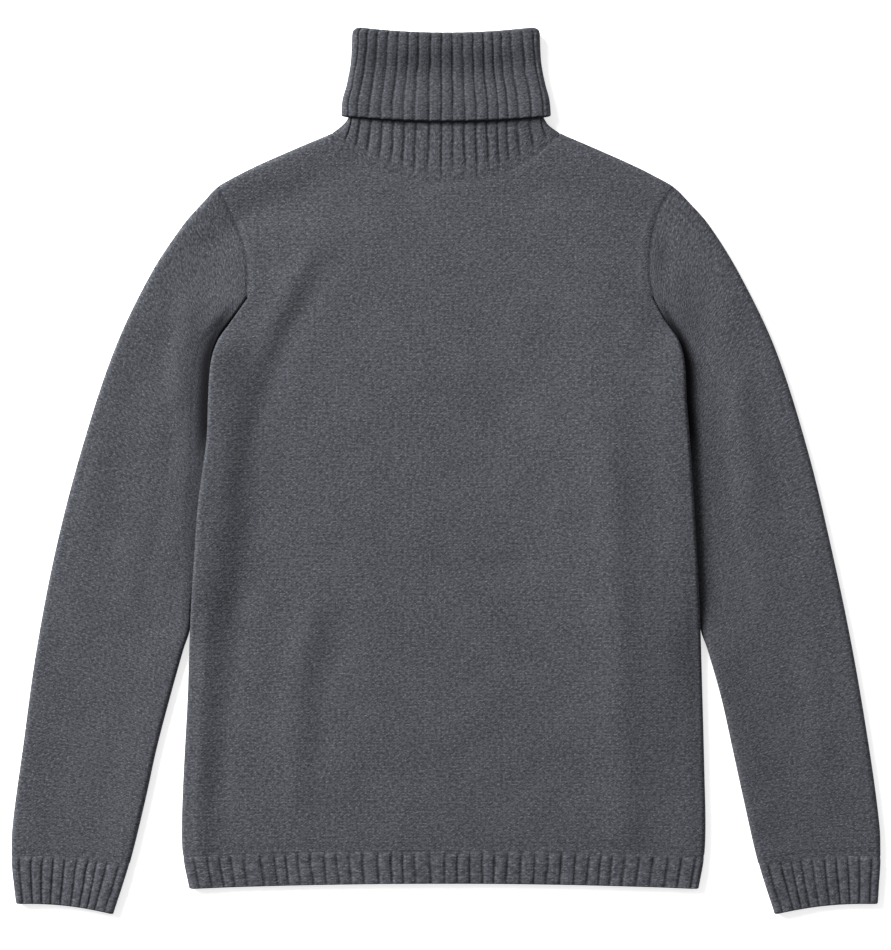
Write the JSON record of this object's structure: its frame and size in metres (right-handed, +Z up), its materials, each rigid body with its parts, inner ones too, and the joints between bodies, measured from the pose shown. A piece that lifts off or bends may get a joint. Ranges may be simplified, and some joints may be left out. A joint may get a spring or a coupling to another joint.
{
  "type": "turtleneck sweater",
  "caption": "Felted wool turtleneck sweater laid flat on its back, with long set-in sleeves, a turned-down ribbed collar and ribbed cuffs and hem.",
  "frame": {"origin": "on the surface that the sweater lies on, under the middle of its bounding box", "axes": "+Y towards the collar, +X towards the wearer's left, +Z up out of the surface, towards the front of the garment"},
  "size_m": [0.756, 0.7708, 0.0154],
  "materials": {
    "plain_knit": "felted, heathered charcoal wool, matt",
    "ribbed_knit": "felted, heathered charcoal wool rib, matt"
  },
  "bodies": {
    "root": {"front": "plain_knit", "back": "plain_knit", "sleeve_left": "plain_knit", "sleeve_right": "plain_knit", "cuff_left": "ribbed_knit", "cuff_right": "ribbed_knit", "hem_front": "ribbed_knit", "hem_back": "ribbed_knit", "collar": "ribbed_knit"}
  },
  "joints": []
}
